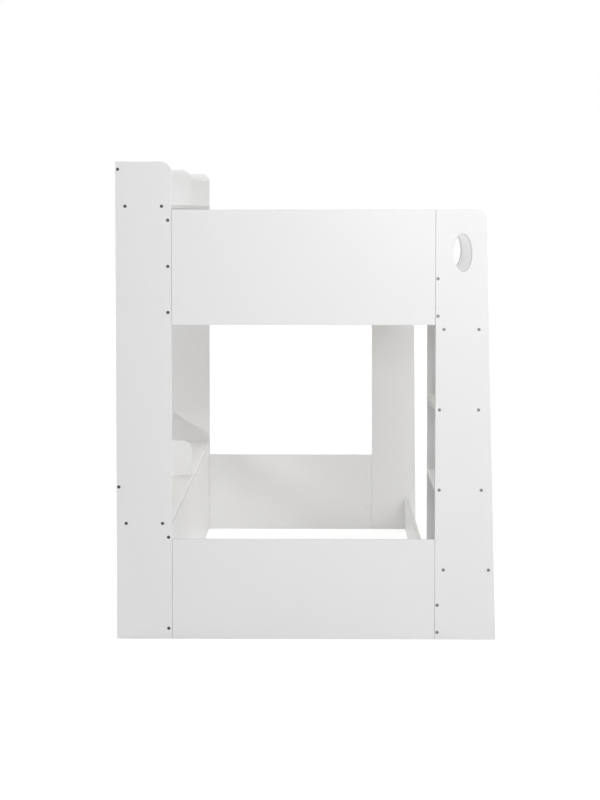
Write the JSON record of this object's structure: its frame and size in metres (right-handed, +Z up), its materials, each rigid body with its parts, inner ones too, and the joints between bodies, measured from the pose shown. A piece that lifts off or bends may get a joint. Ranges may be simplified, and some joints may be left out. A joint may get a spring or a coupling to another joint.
{
  "type": "bunk bed",
  "caption": "White panel bunk bed with divided shelves along the wall side, a fixed ladder with oval hand holes at one end and a slatted upper base.",
  "frame": {"origin": "on the floor, under the middle of the bed's overall box", "axes": "+X from the wall side to the front with the ladder, +Y along the bed from the ladder end to the plain end, +Z up"},
  "size_m": [1.312, 1.947, 1.654],
  "materials": {
    "white_board": "satin white lacquer on MDF",
    "pine": "planed, unfinished",
    "dark_steel": "dark oxide",
    "zinc_steel": "zinc plated",
    "beech": "fluted, unfinished",
    "white_plastic": "moulded"
  },
  "bodies": {
    "root": {"back_slat_ledger": "pine", "cam_cover_caps": "white_plastic", "end_board_cam_bolts": "zinc_steel", "end_board_cams": "zinc_steel", "end_board_dowels": "beech", "front_slat_ledger": "pine", "guard_end_screws": "dark_steel", "ladder_end_lower_board": "white_board", "ladder_end_tall_panel": "white_board", "ladder_end_tall_screws": "dark_steel", "ladder_end_upper_board": "white_board", "ladder_inner_panel": "white_board", "ladder_inner_screws": "dark_steel", "ladder_outer_panel": "white_board", "ladder_outer_screws": "dark_steel", "ladder_rail_screws": "dark_steel", "ladder_step_1": "white_board", "ladder_step_2": "white_board", "ladder_step_3": "white_board", "ladder_step_4": "white_board", "ledger_screws": "zinc_steel", "lower_back_rail": "white_board", "lower_front_rail": "white_board", "lower_shelf": "white_board", "lower_shelf_back": "white_board", "lower_shelf_divider": "white_board", "plain_end_leg_panel": "white_board", "plain_end_leg_screws": "dark_steel", "plain_end_lower_board": "white_board", "plain_end_tall_panel": "white_board", "plain_end_tall_screws": "dark_steel", "plain_end_upper_board": "white_board", "shelf_back_screws": "dark_steel", "shelf_divider_screws": "dark_steel", "slat_01": "pine", "slat_02": "pine", "slat_03": "pine", "slat_04": "pine", "slat_05": "pine", "slat_06": "pine", "slat_07": "pine", "slat_08": "pine", "slat_09": "pine", "slat_10": "pine", "slat_11": "pine", "slat_12": "pine", "slat_13": "pine", "slat_14": "pine", "slat_screws": "zinc_steel", "upper_back_rail": "white_board", "upper_front_board": "white_board", "upper_shelf": "white_board", "upper_shelf_back": "white_board", "upper_shelf_divider": "white_board"}
  },
  "joints": []
}
